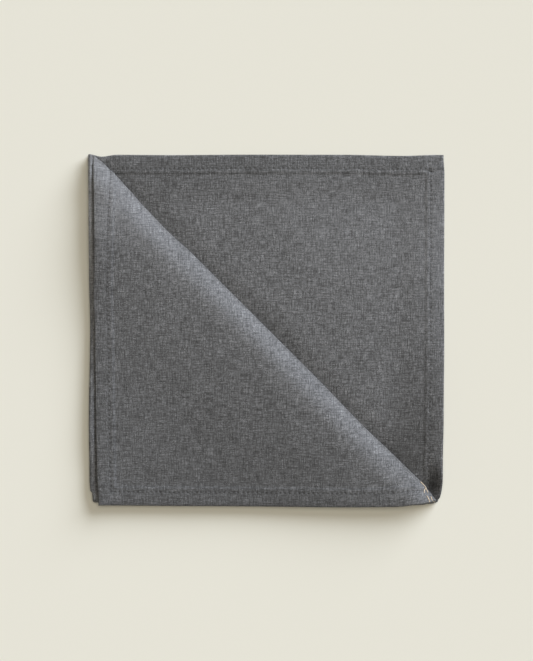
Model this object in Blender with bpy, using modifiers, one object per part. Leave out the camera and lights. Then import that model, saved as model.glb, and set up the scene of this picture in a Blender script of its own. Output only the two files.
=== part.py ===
"""A folded cloth napkin: one hemmed sheet, folded in quarters, with its free corner turned back.

The square cut is folded in half along the left fold and in half again along the bottom fold. The
free corner of the top layer is then folded back over the diagonal crease, and its two hems lie
along the two folds. X runs to the right, Y to the top edge, Z up. The napkin rests on Z = 0, with
its middle over the origin. All sizes are in metres.
"""

import math

import bmesh
import bpy

# Outline of the folded napkin
LEFT_X = -0.1126
RIGHT_X = 0.1126
TOP_Y = 0.1117
BOTTOM_Y = -0.1114
MIRROR_SUM = 0.0025  # x + y on the diagonal that the free corner is turned back over

# Cloth, hem and the distance from one layer's middle to the next
THICKNESS = 0.0010
PITCH = 0.0013
HEM_WIDTH = 0.0110
HEM_EXTRA = 0.00035
HEM_AIR = 0.0002
HEM_SETTLE = 0.018  # how far inside its hem a layer takes to settle on the one beneath

# The layers spring apart beside a fold
FOLD_SPRING = 0.00025
FOLD_SPRING_REACH = 0.009
CREASE_SPRING = 0.0005
CREASE_SPRING_REACH = 0.006

# The layers lie close together at the crease and rise on both sides of it
RISE_BESIDE_CREASE = 0.0009
RISE_UNDER_FLAP = 0.0003
RISE_OF_FLAP = 0.0004
RISE_REACH = 0.019
RISE_LOST_AT_HEM = 0.5
HEM_CALM_REACH = 0.035
CREASE_ROUNDING = 0.0015

# Low soft swells in the cloth: (x, y, radius, height) of the two layers that are seen
SWELLS_BESIDE_CREASE = (
    (0.069, 0.050, 0.030, 0.00045),
    (0.056, -0.012, 0.020, 0.00030),
    (0.008, 0.086, 0.026, 0.00030),
    (-0.050, 0.088, 0.020, 0.00020),
)
SWELLS_OF_FLAP = (
    (-0.070, -0.020, 0.030, 0.00030),
    (-0.030, -0.075, 0.032, 0.00035),
    (0.040, -0.088, 0.024, 0.00025),
    (-0.088, 0.045, 0.022, 0.00020),
)

# Unevenness of the outline: (place along the edge, shift outward) of the four lower layers
LEFT_FOLD_DRIFT = (
    (-0.1100, -0.0016),
    (-0.0960, -0.0006),
    (-0.0600, -0.0001),
    (0.0030, -0.0006),
    (0.0350, 0.0000),
    (0.0800, 0.0005),
    (0.1100, 0.0001),
)
RIGHT_HEM_DRIFT = (
    (-0.1110, -0.0021),
    (-0.0960, -0.0012),
    (-0.0550, -0.0005),
    (0.0000, 0.0001),
    (0.1000, 0.0003),
    (0.1100, -0.0003),
)
TOP_HEM_DRIFT = (
    (-0.1110, 0.0001),
    (-0.1040, -0.0010),
    (-0.0950, 0.0000),
    (0.0500, 0.0001),
    (0.0860, -0.0005),
    (0.1090, 0.0000),
)
BOTTOM_FOLD_DRIFT = (
    (-0.1090, -0.0022),
    (-0.0900, -0.0012),
    (0.0300, -0.0006),
    (0.0950, -0.0010),
    (0.1090, -0.0016),
)
# The same for the two hems of the flap
FLAP_LEFT_DRIFT = (
    (-0.1080, -0.0020),
    (-0.0900, -0.0013),
    (-0.0500, -0.0008),
    (0.0200, -0.0005),
    (0.1000, 0.0002),
)
FLAP_BOTTOM_DRIFT = (
    (-0.1070, 0.0007),
    (-0.0420, 0.0013),
    (0.0530, 0.0020),
    (0.0875, 0.0015),
    (0.0980, 0.0002),
    (0.1080, -0.0014),
)
DRIFT_REACH = 0.060
FLAP_DRIFT_START = 0.022  # at the crease itself the flap drifts with the layers beneath

# The two lower corners are drawn in and rounded
CORNER_REACH = 0.0070
RIGHT_CORNER_PULL = 0.0018
LEFT_CORNER_PULL = 0.0015

# Fineness of the mesh
FOLD_STEPS = 3
BODY_STEPS = 10
ROLL_STEPS = 6
BESIDE_CREASE_LINES = (0.003, 0.0085, 0.017)
UNDER_FLAP_LINES = (0.0014, 0.006, 0.012, 0.020)
BESIDE_FOLD_LINES = (0.0035, 0.0075)
FOLD_CLEARANCE = 0.012  # lines beside the crease stop this far from the folds
SNAP = 0.00012
LEVEL_REACH = 0.00002  # an underside this close to the surface is pressed flat on it

LINEN_GREY = (0.127, 0.127, 0.130, 1.0)
LINEN_ROUGHNESS = 0.9

# Worked out from the sizes above
TURN_RADIUS = (PITCH + FOLD_SPRING) / 2
LEFT_AXIS_X = LEFT_X + THICKNESS / 2 + TURN_RADIUS
LEFT_TURN = math.pi * TURN_RADIUS / 2
OUTER_RADIUS = TURN_RADIUS + PITCH
BOTTOM_AXIS_Y = BOTTOM_Y + THICKNESS / 2 + OUTER_RADIUS
BOTTOM_TURN = math.pi * OUTER_RADIUS / 2
HALF_WIDTH = LEFT_TURN + RIGHT_X - LEFT_AXIS_X
HALF_LENGTH = BOTTOM_TURN + TOP_Y - BOTTOM_AXIS_Y
ROLL_RADIUS = (PITCH + CREASE_SPRING) / 2
ROLL_LENGTH = math.pi * ROLL_RADIUS
CREASE_SUM = MIRROR_SUM - ROLL_LENGTH / math.sqrt(2)  # x + y where the roll starts
HEM_STEP = 2 * math.sqrt(2) * ROLL_LENGTH / ROLL_STEPS  # as wide as two strips of the roll


def ease(part):
    """0 below 0, 1 above 1 and a smooth rise between."""
    part = min(max(part, 0.0), 1.0)
    return part * part * (3 - 2 * part)


def fade(distance, reach):
    """1 at no distance, falling smoothly to nothing past the reach."""
    return math.exp(-((distance / reach) ** 2))


def read_drift(rows, place):
    """Reads a drift table at a place along its edge, with smooth runs between its rows."""
    if place <= rows[0][0]:
        return rows[0][1]
    for (start, low), (end, high) in zip(rows, rows[1:]):
        if place <= end:
            return low + (high - low) * ease((place - start) / (end - start))
    return rows[-1][1]


def hem_share(to_side, to_end):
    """1 on the hems of the flat cut and 0 inside them, from the distances to its nearest edges."""
    inside = min(to_side, to_end)
    return 1 - ease((inside - HEM_WIDTH) / HEM_STEP)


def ply_gap(along, to_side, to_end):
    """Distance between the two plies of the first fold, wider beside the fold and on the hems."""
    spring = FOLD_SPRING * fade(along, FOLD_SPRING_REACH)
    hemmed = 1 - ease((min(to_side, to_end) - HEM_WIDTH - HEM_STEP) / HEM_SETTLE)
    return PITCH + spring + (2 * HEM_EXTRA + HEM_AIR) * hemmed


def stack_radius(x, y):
    """Half the height from the lowest layer's middle to the top layer's, at a place in the plan."""
    gap = ply_gap(max(x - LEFT_AXIS_X, 0.0), RIGHT_X - x, TOP_Y - y)
    return TURN_RADIUS - FOLD_SPRING / 2 * (1 - fade(y - BOTTOM_AXIS_Y, FOLD_SPRING_REACH)) + gap


def first_fold(u, v):
    """Folds the cut over the left fold. Gives x, the height over the outer ply, how far the point
    is from the outer ply to the inner one, and the direction of the cloth's wrong side."""
    to_side = HALF_WIDTH - abs(u)
    to_end = HALF_LENGTH - abs(v)
    turn_gap = ply_gap(0.0, HALF_WIDTH, to_end)
    radius = turn_gap / 2
    axis_x = LEFT_X + THICKNESS / 2 + radius
    flat = max(abs(u) - LEFT_TURN, 0.0)
    if abs(u) < LEFT_TURN:
        angle = math.pi / 2 * u / LEFT_TURN
        x = axis_x - radius * math.cos(angle)
        height = radius * (1 + math.sin(angle))
        return x, height, (1 + math.sin(angle)) / 2, (math.cos(angle), -math.sin(angle))
    x = axis_x + flat * (RIGHT_X - axis_x) / (HALF_WIDTH - LEFT_TURN)
    if u < 0:
        return x, 0.0, 0.0, (0.0, 1.0)
    return x, ply_gap(flat, to_side, to_end), 1.0, (0.0, -1.0)


def second_fold(v, x, height, radius):
    """Folds the doubled cloth over the bottom fold. Gives y, z and the share of the turn made."""
    axis_y = BOTTOM_Y + THICKNESS / 2 + radius
    flat = max(abs(v) - BOTTOM_TURN, 0.0)
    if abs(v) < BOTTOM_TURN:
        angle = -math.pi / 2 * v / BOTTOM_TURN
        y = axis_y - (radius - height) * math.cos(angle)
        z = THICKNESS / 2 + radius + (radius - height) * math.sin(angle)
        return y, z, (1 + math.sin(angle)) / 2
    y = axis_y + flat * (TOP_Y - axis_y) / (HALF_LENGTH - BOTTOM_TURN)
    radius = stack_radius(x, y)
    if v > 0:
        return y, THICKNESS / 2 + height, 0.0
    return y, THICKNESS / 2 + 2 * radius - height, 1.0


def quarter_fold(u, v, lift):
    """A point of the cut after both folds, moved by lift to the cloth's wrong side. Gives its
    place and its level, which runs from 0 on the lowest layer to 3 on the highest."""
    x, height, inner, wrong_side = first_fold(u, v)
    x += lift * wrong_side[0]
    height += lift * wrong_side[1]
    radius = TURN_RADIUS + ply_gap(max(x - LEFT_AXIS_X, 0.0), HALF_WIDTH - abs(u), HALF_LENGTH)
    y, z, turned = second_fold(v, x, height, radius)
    return (x, y, z), inner + turned * (3 - 2 * inner)


def crease_distance(x, y):
    """Distance in the plan from the diagonal crease, positive towards the free corner."""
    return (x + y - CREASE_SUM) / math.sqrt(2)


def flat_plan(u, v):
    """Where a point of the top layer lies before its corner is turned back."""
    x = LEFT_AXIS_X + abs(u) - LEFT_TURN
    y = BOTTOM_AXIS_Y + abs(v) - BOTTOM_TURN
    return x, y


def turn_back(u, v, lift):
    """A point of the top layer past the crease, rolled over it and laid back on the layer."""
    (x, y, z), _ = quarter_fold(u, v, 0.0)
    past = max(crease_distance(x, y), 0.0)
    angle = min(past / ROLL_RADIUS, math.pi)
    reach = ROLL_RADIUS * math.sin(angle) - max(past - ROLL_LENGTH, 0.0)
    step = (reach - past) / math.sqrt(2)
    x += step
    y += step
    rolled = ease(angle / math.pi)
    settled = THICKNESS / 2 + 2 * stack_radius(x, y)
    z += (settled - z) * rolled
    spring = CREASE_SPRING * fade(max(past - ROLL_LENGTH, 0.0), CREASE_SPRING_REACH)
    z += (PITCH + spring) / 2 * (1 - math.cos(angle)) - lift * math.cos(angle)
    side = lift * math.sin(angle) / math.sqrt(2)
    return (x + side, y + side, z), 3 + (1 - math.cos(angle)) / 2


def swell_height(rows, x, y):
    """Sum of the soft swells of one table at a place in the plan."""
    total = 0.0
    for at_x, at_y, radius, height in rows:
        total += height * fade(math.hypot(x - at_x, y - at_y), radius)
    return total


def raise_layers(x, y, level):
    """How much the air between the layers lifts a point, given its level in the stack."""
    distance = crease_distance(x, y)
    rounded = math.hypot(distance, CREASE_ROUNDING) - CREASE_ROUNDING
    away = min(rounded / RISE_REACH, 1.0)
    rise = 1 - (1 - away) ** 2
    calm = 1 - RISE_LOST_AT_HEM * fade(min(RIGHT_X - x, TOP_Y - y), HEM_CALM_REACH)
    beside = (RISE_BESIDE_CREASE + swell_height(SWELLS_BESIDE_CREASE, x, y)) * rise * calm
    under = RISE_UNDER_FLAP * rise
    flap = (RISE_OF_FLAP + swell_height(SWELLS_OF_FLAP, x, y)) * rise
    return beside * ease(level - 1) + under * ease(level - 2) + flap * ease(level - 3)


def drift_outline(x, y, level):
    """Moves a point sideways, to the uneven outline of hand-folded cloth."""
    on_flap = ease(level - 3) * ease(abs(crease_distance(x, y)) / FLAP_DRIFT_START)
    left = read_drift(LEFT_FOLD_DRIFT, y) * (1 - on_flap)
    left += read_drift(FLAP_LEFT_DRIFT, y) * on_flap
    bottom = read_drift(BOTTOM_FOLD_DRIFT, x) * (1 - on_flap)
    bottom += read_drift(FLAP_BOTTOM_DRIFT, x) * on_flap
    move_x = read_drift(RIGHT_HEM_DRIFT, y) * fade(RIGHT_X - x, DRIFT_REACH)
    move_x -= left * fade(x - LEFT_X, DRIFT_REACH)
    move_y = read_drift(TOP_HEM_DRIFT, x) * fade(TOP_Y - y, DRIFT_REACH)
    move_y -= bottom * fade(y - BOTTOM_Y, DRIFT_REACH)
    right_corner = RIGHT_CORNER_PULL * fade(math.hypot(RIGHT_X - x, y - BOTTOM_Y), CORNER_REACH)
    left_corner = LEFT_CORNER_PULL * fade(math.hypot(x - LEFT_X, y - BOTTOM_Y), CORNER_REACH)
    move_x += left_corner * (1 - on_flap) - right_corner
    move_y += left_corner * (1 - on_flap) + right_corner
    return x + move_x, y + move_y


def fold_cloth(u, v):
    """Where a point of the flat cut lies in the folded napkin, and its share of the hem."""
    hem = hem_share(HALF_WIDTH - abs(u), HALF_LENGTH - abs(v))
    lift = HEM_EXTRA / 2 * hem
    on_top = u < -LEFT_TURN and v < 0
    if on_top and crease_distance(*flat_plan(u, v)) > 0:
        (x, y, z), level = turn_back(u, v, lift)
    else:
        (x, y, z), level = quarter_fold(u, v, lift)
    z += raise_layers(x, y, level)
    x, y = drift_outline(x, y, level)
    return (x, y, z), hem


def score(cut, point, direction, keep=None):
    """Scores a straight line across the flat cut, on all faces or on those that keep accepts."""
    faces = [face for face in cut.faces if keep is None or keep(face.calc_center_median())]
    edges = {edge for face in faces for edge in face.edges}
    verts = {vert for face in faces for vert in face.verts}
    scored = faces + sorted(edges, key=lambda edge: edge.index)
    scored += sorted(verts, key=lambda vert: vert.index)
    bmesh.ops.bisect_plane(cut, geom=scored, plane_co=point, plane_no=direction, dist=SNAP)
    cut.verts.index_update()
    cut.edges.index_update()
    cut.faces.ensure_lookup_table()


def hem_lines():
    """Distances from a cut edge of the lines its hem needs: its inner edge, foot and run-out."""
    foot = HEM_WIDTH + HEM_STEP
    return [HEM_WIDTH, foot, foot + HEM_SETTLE / 2, foot + HEM_SETTLE]


def body_lines():
    """The x of the lines across the body of the napkin. Each meets, on the mirror line, the line
    across y that it is turned into."""
    start = MIRROR_SUM - TOP_Y + hem_lines()[-1]
    end = RIGHT_X - hem_lines()[-1]
    return [start + (end - start) * step / BODY_STEPS for step in range(BODY_STEPS + 1)]


def u_of(x):
    """Distance along the flat cut from its middle to the place that lies at x."""
    return x - LEFT_AXIS_X + LEFT_TURN


def v_of(y):
    """Distance along the flat cut from its middle to the place that lies at y."""
    return y - BOTTOM_AXIS_Y + BOTTOM_TURN


def score_squarely(cut):
    """Scores the lines along the edges, for turns, body and hems, on both sides of each fold."""
    turn_shares = [step / FOLD_STEPS for step in range(FOLD_STEPS + 1)]
    u_lines = [share * LEFT_TURN for share in turn_shares]
    u_lines += [LEFT_TURN + line for line in BESIDE_FOLD_LINES]
    u_lines += [u_of(x) for x in body_lines()]
    u_lines += [HALF_WIDTH - line for line in hem_lines()[:-1]]
    v_lines = [share * BOTTOM_TURN for share in turn_shares]
    v_lines += [BOTTOM_TURN + line for line in BESIDE_FOLD_LINES]
    v_lines += [v_of(MIRROR_SUM - x) for x in body_lines()]
    v_lines += [HALF_LENGTH - line for line in hem_lines()[:-1]]
    for side in (-1, 1):
        for line in u_lines:
            score(cut, (side * line, 0, 0), (1, 0, 0))
        for line in v_lines:
            score(cut, (0, side * line, 0), (0, 1, 0))


def score_over_hems(cut):
    """Scores the top layer where its turned corner comes to lie over the hems of other layers."""
    for line in hem_lines()[:-1]:
        u_line = u_of(MIRROR_SUM - TOP_Y + line)
        v_line = v_of(MIRROR_SUM - RIGHT_X + line)
        score(cut, (-u_line, 0, 0), (1, 0, 0), keep=lambda middle: middle.x < 0 and middle.y < 0)
        score(cut, (0, -v_line, 0), (0, 1, 0), keep=lambda middle: middle.x < 0 and middle.y < 0)


def score_diagonal(cut, line, side, clear=0.0):
    """Scores a line along the crease on one upper quarter, side -1 for the top layer's, up to a
    clear distance from the two folds."""
    x, y = flat_plan(0.0, 0.0)
    past_origin = line - crease_distance(x, y)
    direction = (side / math.sqrt(2), -1 / math.sqrt(2), 0)
    point = tuple(past_origin * part for part in direction)
    score(cut, point, direction, keep=lambda middle: middle.x * side > clear and middle.y < -clear)


def flat_cut():
    """The flat cloth as a mesh, scored along its folds, its hems and its diagonal crease."""
    cut = bmesh.new()
    bmesh.ops.create_grid(cut, x_segments=1, y_segments=1, size=1.0)
    bmesh.ops.scale(cut, vec=(HALF_WIDTH, HALF_LENGTH, 1), verts=cut.verts)
    score_squarely(cut)
    score_over_hems(cut)
    for step in range(ROLL_STEPS + 1):
        score_diagonal(cut, ROLL_LENGTH * step / ROLL_STEPS, -1)
    for line in BESIDE_CREASE_LINES:
        score_diagonal(cut, -line, -1, FOLD_CLEARANCE)
        score_diagonal(cut, ROLL_LENGTH + line, -1, FOLD_CLEARANCE)
    for line in UNDER_FLAP_LINES:
        score_diagonal(cut, line, 1, FOLD_CLEARANCE)
    bmesh.ops.triangulate(cut, faces=cut.faces, quad_method="BEAUTY", ngon_method="BEAUTY")
    return cut


def make_material():
    """Grey linen."""
    linen = bpy.data.materials.new("grey_linen")
    linen.use_nodes = True
    shader = linen.node_tree.nodes["Principled BSDF"]
    shader.inputs["Base Color"].default_value = LINEN_GREY
    shader.inputs["Roughness"].default_value = LINEN_ROUGHNESS
    shader.inputs["Metallic"].default_value = 0.0
    return linen


def make_napkin(collection):
    """The folded cloth as a surface through its middle, thickened to both sides."""
    cut = flat_cut()
    hem_shares = []
    for vert in cut.verts:
        place, hem = fold_cloth(vert.co.x, vert.co.y)
        vert.co = place
        hem_shares.append(hem)
    mesh = bpy.data.meshes.new("napkin")
    cut.to_mesh(mesh)
    cut.free()
    mesh.shade_smooth()
    mesh.materials.append(make_material())
    napkin = bpy.data.objects.new("napkin", mesh)
    collection.objects.link(napkin)
    hem_group = napkin.vertex_groups.new(name="hem")
    for index, share in enumerate(hem_shares):
        hem_group.add([index], share, "REPLACE")
    cloth = napkin.modifiers.new("cloth", "SOLIDIFY")
    cloth.thickness = THICKNESS + HEM_EXTRA
    cloth.offset = 0.0
    cloth.use_even_offset = True
    cloth.use_quality_normals = True
    cloth.vertex_group = hem_group.name
    cloth.thickness_vertex_group = THICKNESS / (THICKNESS + HEM_EXTRA)
    bpy.context.view_layer.objects.active = napkin
    bpy.ops.object.modifier_apply(modifier=cloth.name)
    return napkin


def press_flat(napkin):
    """Levels the underside on the surface that the napkin rests on."""
    for vert in napkin.data.vertices:
        if vert.co.z < LEVEL_REACH:
            vert.co.z = 0.0


def main():
    """Clears the scene and builds the napkin."""
    for thing in list(bpy.data.objects):
        bpy.data.objects.remove(thing)
    collection = bpy.data.collections.new("folded_napkin")
    bpy.context.scene.collection.children.link(collection)
    napkin = make_napkin(collection)
    press_flat(napkin)


main()
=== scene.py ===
"""The looks of a folded grey linen napkin: the folded sheet, its sewn hems, its loose threads and
the stage that it lies on.

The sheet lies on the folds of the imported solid. Its flat cut is mapped, point by point, over the
left fold, the bottom fold and the diagonal crease. U runs across the flat cut with the left fold
at 0, V runs along it with the bottom fold at 0. All sizes are in metres.
"""

import math

import bmesh
import bpy
import numpy as np
from mathutils import Matrix, Vector


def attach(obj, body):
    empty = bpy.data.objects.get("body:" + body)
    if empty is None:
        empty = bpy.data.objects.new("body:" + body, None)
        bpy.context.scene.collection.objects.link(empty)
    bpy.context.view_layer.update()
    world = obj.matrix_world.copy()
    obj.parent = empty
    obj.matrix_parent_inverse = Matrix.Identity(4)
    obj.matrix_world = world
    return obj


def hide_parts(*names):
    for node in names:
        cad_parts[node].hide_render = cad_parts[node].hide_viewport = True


bl_info = {
    "name": "Folded linen napkin",
    "version": (1, 0, 0),
    "blender": (4, 5, 0),
    "location": "View3D > Sidebar > Napkin",
    "description": "Builds a folded linen napkin on its packed solid, with its sewing and its stage",
    "category": "Object",
}

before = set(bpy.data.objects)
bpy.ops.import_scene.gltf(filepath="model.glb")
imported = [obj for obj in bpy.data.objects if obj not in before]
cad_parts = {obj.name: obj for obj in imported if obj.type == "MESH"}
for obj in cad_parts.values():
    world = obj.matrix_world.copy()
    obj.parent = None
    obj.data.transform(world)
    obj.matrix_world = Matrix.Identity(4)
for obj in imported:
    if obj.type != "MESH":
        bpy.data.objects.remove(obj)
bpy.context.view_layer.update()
NODE = "napkin"

# Outline of the folded napkin
LEFT_X = -0.1126
RIGHT_X = 0.1126
TOP_Y = 0.1117
BOTTOM_Y = -0.1114
MIRROR_SUM = 0.0025

# The solid that the sheet lies on
SOLID = 0.0010
PITCH = 0.0013
SOLID_HEM = 0.0110
HEM_EXTRA = 0.00035
HEM_AIR = 0.0002
HEM_SETTLE = 0.018
HEM_STEP = 0.0027
FOLD_SPRING = 0.00025
FOLD_SPRING_REACH = 0.009
CREASE_SPRING = 0.0005
CREASE_SPRING_REACH = 0.006

# The layers lie close together at the crease and rise on both sides of it
RISE_BESIDE_CREASE = 0.0015
RISE_UNDER_FLAP = 0.0003
RISE_OF_FLAP = 0.0004
RISE_REACH = 0.0140
CREASE_ROUNDING = 0.0005

# The flap swells beside the crease and settles again further off
PUFF_HEIGHT = 0.0038
PUFF_REACH = 0.0150
PUFF_RUN_OUT = 0.080

# Low soft swells: (x, y, reach in x, reach in y, height)
SWELLS_BESIDE_CREASE = (
    (0.042, 0.040, 0.050, 0.050, 0.00170),
    (0.069, 0.050, 0.030, 0.030, 0.00045),
    (0.056, -0.012, 0.020, 0.020, 0.00030),
    (0.008, 0.086, 0.026, 0.026, 0.00030),
    (-0.050, 0.088, 0.020, 0.020, 0.00020),
)
SWELLS_OF_FLAP = (
    (-0.070, -0.020, 0.030, 0.030, 0.00030),
    (-0.030, -0.075, 0.032, 0.032, 0.00035),
    (0.040, -0.088, 0.024, 0.024, 0.00025),
    (-0.088, 0.045, 0.022, 0.022, 0.00020),
)

# Soft troughs and ridges: (start x, start y, end x, end y, half width, height)
CREASES_BESIDE_CREASE = (
    (0.009, 0.100, 0.010, 0.062, 0.0016, 0.00012),
    (0.1000, 0.1024, 0.1056, 0.1004, 0.0007, -0.00045),
    (0.1036, 0.1002, 0.1124, 0.1030, 0.0007, -0.00040),
    (0.1010, 0.1036, 0.1115, 0.1042, 0.0007, 0.00025),
    (0.1027, 0.1025, 0.1027, 0.1068, 0.0006, -0.00030),
)
CREASES_OF_FLAP = (
    (-0.104, 0.020, -0.045, 0.016, 0.0030, -0.00010),
)

# Lifted and curled edges: (x, y, reach in x, reach in y, height)
LIFTS_BESIDE_CREASE = (
    (0.1140, -0.0940, 0.0060, 0.0110, 0.0042),
    (0.1250, -0.0550, 0.0300, 0.0420, 0.0048),
    (0.1045, -0.0955, 0.0055, 0.0090, -0.0018),
    (0.1170, 0.0450, 0.0130, 0.0550, -0.0022),
    (-0.1130, 0.0560, 0.0260, 0.0300, 0.0020),
    (-0.1140, -0.0950, 0.0035, 0.0150, -0.0012),
)
LIFTS_OF_FLAP = (
    (-0.1130, 0.0600, 0.0220, 0.0300, 0.0014),
    (-0.1130, -0.0020, 0.0130, 0.0300, 0.0006),
    (-0.1130, -0.1000, 0.0150, 0.0250, 0.0011),
)

# Painted light and shade: softly lighter and darker areas of the cloth that stand in for the light
# and shade on its folds: (x, y, reach in x, reach in y, share)
PAINTED_LIGHT_BESIDE_CREASE = (
    (0.0000, 0.1120, 0.1100, 0.0120, -0.12),
    (-0.0600, 0.0900, 0.0300, 0.0300, -0.10),
    (0.0650, 0.0580, 0.0500, 0.0420, 0.16),
    (0.1100, 0.0600, 0.0150, 0.0500, 0.32),
    (0.0100, 0.0850, 0.0600, 0.0200, 0.10),
    (0.1000, -0.0450, 0.0300, 0.0300, -0.12),
    (0.1062, -0.0995, 0.0058, 0.0058, -0.62),
    (0.0860, -0.0800, 0.0180, 0.0180, -0.26),
    (-0.1120, 0.0750, 0.0040, 0.0450, 1.20),
)
PAINTED_LIGHT_OF_FLAP = (
    (-0.0300, -0.0900, 0.1300, 0.0800, -0.26),
    (-0.1090, 0.0880, 0.0260, 0.0280, 0.50),
)

# Painted highlight: the flap is painted lighter along the crease, where its rounded fold catches the light
CREASE_PAINTED_HIGHLIGHT = 0.32
CREASE_PAINTED_HIGHLIGHT_REACH = 0.015

# How far the left fold's rounded turn stands over its layers: (place along the fold, height)
LEFT_FOLD_BEAD = (
    (-0.1090, 0.0001),
    (-0.0880, 0.0001),
    (-0.0630, 0.0008),
    (-0.0200, 0.0003),
    (0.0000, 0.0000),
    (0.0300, 0.0004),
    (0.0510, 0.0016),
    (0.0700, 0.0030),
    (0.0980, 0.0032),
    (0.1080, 0.0016),
)
BEAD_PLACE = 0.0010
BEAD_REACH = 0.0026

# The hollow along the left fold, under the flap's edge
HOLLOW_PLACE = 0.0052
HOLLOW_REACH = 0.0016
HOLLOW_DEPTH = 0.0014
HOLLOW_RUN_OUT = 0.008

# Unevenness of the outline: (place along the edge, shift outward)
LEFT_FOLD_DRIFT = (
    (-0.1100, -0.0024),
    (-0.1046, -0.0024),
    (-0.1032, -0.0012),
    (-0.0960, -0.0009),
    (-0.0600, -0.0006),
    (0.0030, -0.0014),
    (0.0350, -0.0008),
    (0.0800, -0.0005),
    (0.1100, -0.0002),
)
RIGHT_HEM_DRIFT = (
    (-0.1110, -0.0021),
    (-0.0960, -0.0012),
    (-0.0550, -0.0005),
    (0.0000, 0.0001),
    (0.1000, 0.0003),
    (0.1100, -0.0003),
)
TOP_HEM_DRIFT = (
    (-0.1110, -0.0002),
    (-0.1040, -0.0016),
    (-0.0950, -0.0004),
    (-0.0600, -0.0006),
    (-0.0100, -0.0003),
    (0.0500, -0.0004),
    (0.0860, -0.0011),
    (0.1090, -0.0005),
)
BOTTOM_FOLD_DRIFT = (
    (-0.1090, -0.0022),
    (-0.0900, -0.0012),
    (0.0300, -0.0006),
    (0.0950, -0.0010),
    (0.1090, -0.0016),
)
FLAP_LEFT_DRIFT = (
    (-0.1080, -0.0034),
    (-0.0900, -0.0024),
    (-0.0500, -0.0015),
    (0.0000, -0.0011),
    (0.0200, -0.0003),
    (0.0480, -0.0009),
    (0.0900, -0.0007),
)
FLAP_BOTTOM_DRIFT = (
    (-0.1070, 0.0002),
    (-0.0420, 0.0006),
    (0.0530, 0.0013),
    (0.0875, 0.0010),
    (0.0980, 0.0000),
    (0.1080, -0.0015),
)
CREASE_DRIFT = (
    (-0.1100, 0.0010),
    (-0.1060, 0.0022),
    (-0.0980, 0.0019),
    (-0.0880, 0.0009),
    (-0.0770, -0.0004),
    (-0.0620, -0.0010),
    (-0.0470, 0.0003),
    (0.0300, 0.0004),
    (0.0620, -0.0006),
    (0.0850, 0.0006),
    (0.0990, 0.0010),
    (0.1060, -0.0006),
    (0.1090, -0.0012),
)
CREASE_DRIFT_REACH = 0.018
CREASE_DRIFT_START = 0.0030
CREASE_DRIFT_RUN = 0.0050
DRIFT_REACH = 0.060
FLAP_DRIFT_START = 0.022
RIGHT_CORNER_PULL = 0.0020
RIGHT_CORNER_REACH = 0.0036
LEFT_CORNER_PULL = 0.0006
LEFT_CORNER_REACH = 0.0070

# Fineness of the sheet
TURN_STEPS = 8
ROLL_STEPS = 9
FINE_STEP = 0.0023
COARSE_STEP = 0.0080
BESIDE_FOLD = (0.0008, 0.0016, 0.0024, 0.0032, 0.0041, 0.0052)
BESIDE_CREASE = (0.0007, 0.0016, 0.0030)
HEM_FINE = (0.0, 0.0003, 0.0008, 0.0017, 0.0030, 0.0045, 0.0060, 0.0073, 0.0080, 0.0085, 0.0090,
            0.0097, 0.0104, 0.0110, 0.0117, 0.0124, 0.0131)
SNAP = 0.00015
NUDGE = 0.00005

# Relief of the hem: rounded at the cloth's edge, crowned, stepped down at its inner fold, drawn in
# by the seam, and painted darker at its needle holes as shade in their small recesses
EDGE_ROUNDING = 0.0005
HEM_CROWN = 0.60
HEM_CROWN_REACH = 0.0034
HEM_FALL_START = 0.0008
HEM_FALL = 0.0015
SEAM_DRAW = 0.25
SEAM_DEPTH = 0.00024
SEAM_REACH = 0.0009
NEEDLE_REACH = 0.0009
PUCKER_REACH = 0.0014
NEEDLE_PAINTED_SHADE = 0.65

# Quarters of the cut whose hems show, and the side of the cloth that shows there: 1 for the wrong
# side, -1 for the right side
SEWN_QUARTERS = ((-1, -1, 1), (1, -1, 1), (-1, 1, -1))
STITCH_SHARE = 0.74
STITCH_FLATNESS = 0.6
STITCH_END = 0.35
STITCH_DIP = 0.00016
STITCH_OVER = 0.15
STITCH_UNDER = 0.35

# Light threads that lie loose on the lower right corner: points of each in the plan
LOOSE_THREADS = (
    ((0.0976, -0.0953), (0.0989, -0.0966), (0.0998, -0.0974), (0.1006, -0.0984), (0.1012, -0.0997)),
    ((0.1000, -0.1022), (0.0995, -0.1003), (0.1003, -0.0988), (0.1014, -0.0998), (0.1021, -0.1020)),
    ((0.1014, -0.1040), (0.1019, -0.1047), (0.1025, -0.1056), (0.1028, -0.1067), (0.1033, -0.1080)),
    ((0.1040, -0.1045), (0.1043, -0.1059), (0.1048, -0.1070), (0.1054, -0.1077), (0.1064, -0.1081)),
)
LOOSE_THREAD_WIDTH = 0.00050
LOOSE_THREAD_REST = 0.45
LOOSE_THREAD_DROP = 0.05

# How closely the plies of the two yarns follow each other
SEWING_TWIST = 900.0
LOOSE_TWIST = 700.0

# Weave: the weft's pitch to the warp's, how much the threads wander, how round they are, how far
# apart the slubs of two threads are drawn and how short the slubs are
WEFT_SHARE = 1.08
WANDER = 0.0016
ROUNDNESS = 3.2
SLUB_SHIFT = 7.31
SLUB_FINENESS = 560.0

# How much the lightness of the cloth varies: along each thread, in streaks of threads and in soft
# clouds, all of it calmed by a power, and more so where painted light makes the cloth lighter
SLUB_SHARE = 1.25
STREAK_SHARE = 1.30
CLOUD_SHARE = 0.14
CALM = 0.88

# Lightness from the edge of the cloth inward: darker over the hem, and worn lighter on the very rim
HEM_SHADE = 0.90
BODY_SHADE = 1.02
HEM_SHADE_REACH = 0.045
RIM_WEAR = 1.25
RIM_REACH = 0.0016

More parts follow.
